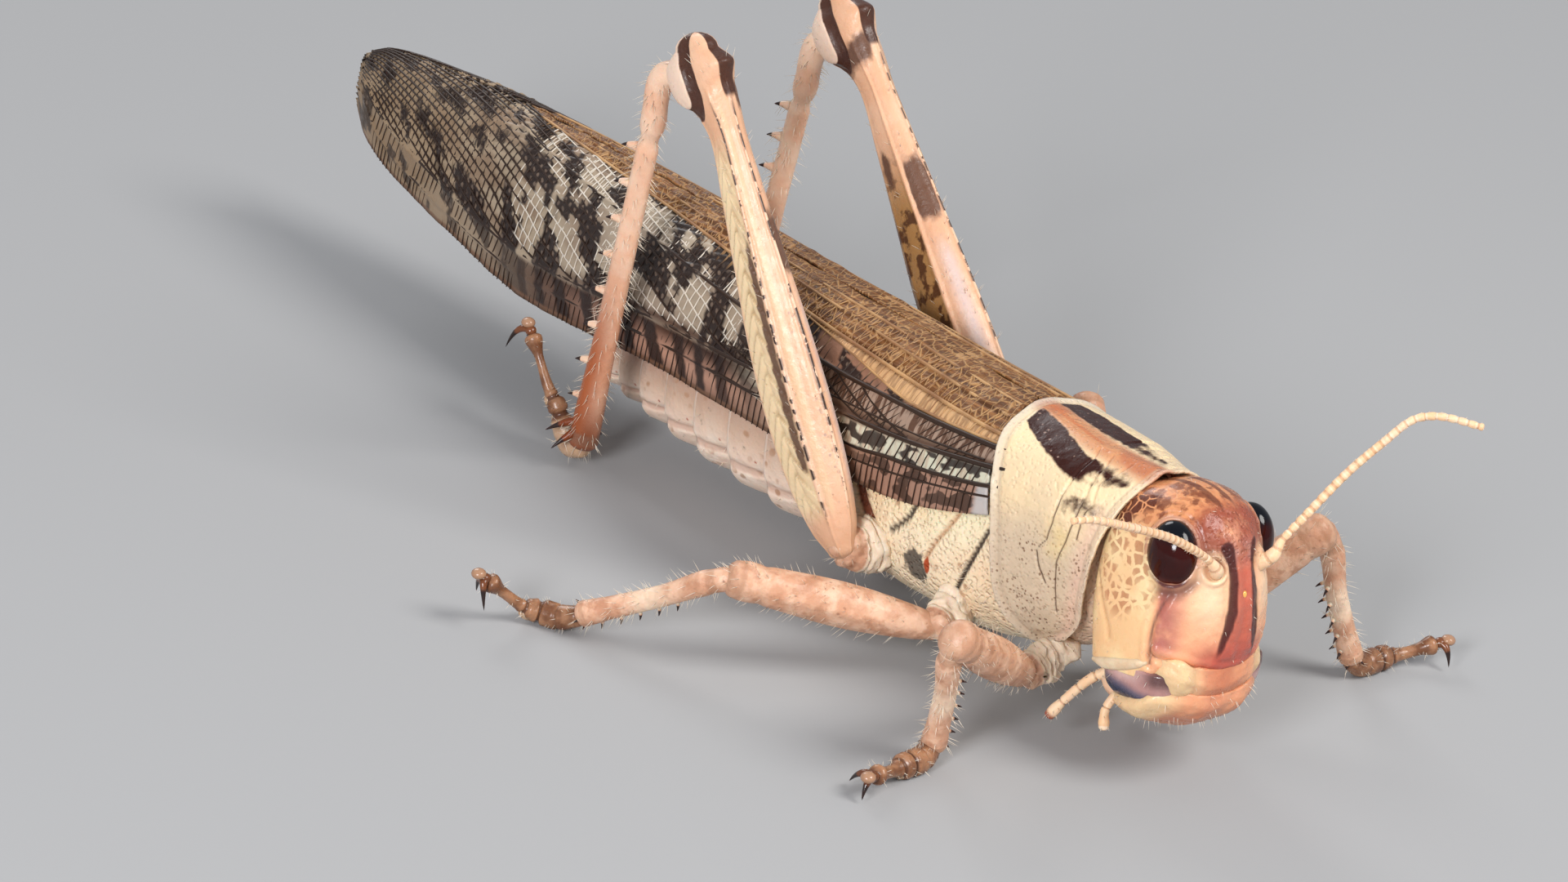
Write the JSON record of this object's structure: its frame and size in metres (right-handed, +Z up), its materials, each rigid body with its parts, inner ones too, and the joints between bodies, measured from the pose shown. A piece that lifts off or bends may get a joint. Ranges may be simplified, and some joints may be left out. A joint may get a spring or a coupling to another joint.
{
  "type": "locust",
  "caption": "Life-size model of an adult migratory locust standing low, head turned slightly, wings folded and jumping legs raised.",
  "frame": {"origin": "middle of the bounding box at the level the feet stand on", "axes": "the head faces -Y and the tail +Y, +X is the animal's left, +Z is up"},
  "size_m": [0.0406, 0.071, 0.0249],
  "materials": {
    "shell": "semi-gloss",
    "face": "semi-gloss",
    "eye": "gloss",
    "limb": "semi-gloss",
    "belly": "satin",
    "wing": "satin",
    "membrane": "satin",
    "foot": "semi-gloss",
    "claw": "gloss",
    "jaw": "gloss"
  },
  "bodies": {
    "root": {"abdomen_front": "belly", "abdomen_middle": "belly", "abdomen_rear": "belly", "antenna_left": "limb", "antenna_right": "limb", "claws_front_left": "claw", "claws_front_right": "claw", "claws_hind_left": "claw", "claws_hind_right": "claw", "claws_middle_left": "claw", "claws_middle_right": "claw", "clypeus": "shell", "coxa_front_left": "limb", "coxa_front_right": "limb", "coxa_hind_left": "limb", "coxa_hind_right": "limb", "coxa_middle_left": "limb", "coxa_middle_right": "limb", "eye_left": "eye", "eye_right": "eye", "femur_front_left": "limb", "femur_front_right": "limb", "femur_hind_left": "limb", "femur_hind_right": "limb", "femur_middle_left": "limb", "femur_middle_right": "limb", "forewing_left": "wing", "forewing_right": "wing", "head": "face", "hindwing_left": "membrane", "hindwing_right": "membrane", "labial_palp_left": "limb", "labial_palp_right": "limb", "labium": "belly", "labrum": "shell", "mandible_left": "jaw", "mandible_right": "jaw", "maxillary_palp_left": "limb", "maxillary_palp_right": "limb", "pronotum": "shell", "prothorax": "belly", "tarsus_front_left": "foot", "tarsus_front_right": "foot", "tarsus_hind_left": "foot", "tarsus_hind_right": "foot", "tarsus_middle_left": "foot", "tarsus_middle_right": "foot", "thorax": "shell", "tibia_front_left": "limb", "tibia_front_right": "limb", "tibia_hind_left": "limb", "tibia_hind_right": "limb", "tibia_middle_left": "limb", "tibia_middle_right": "limb"}
  },
  "joints": []
}
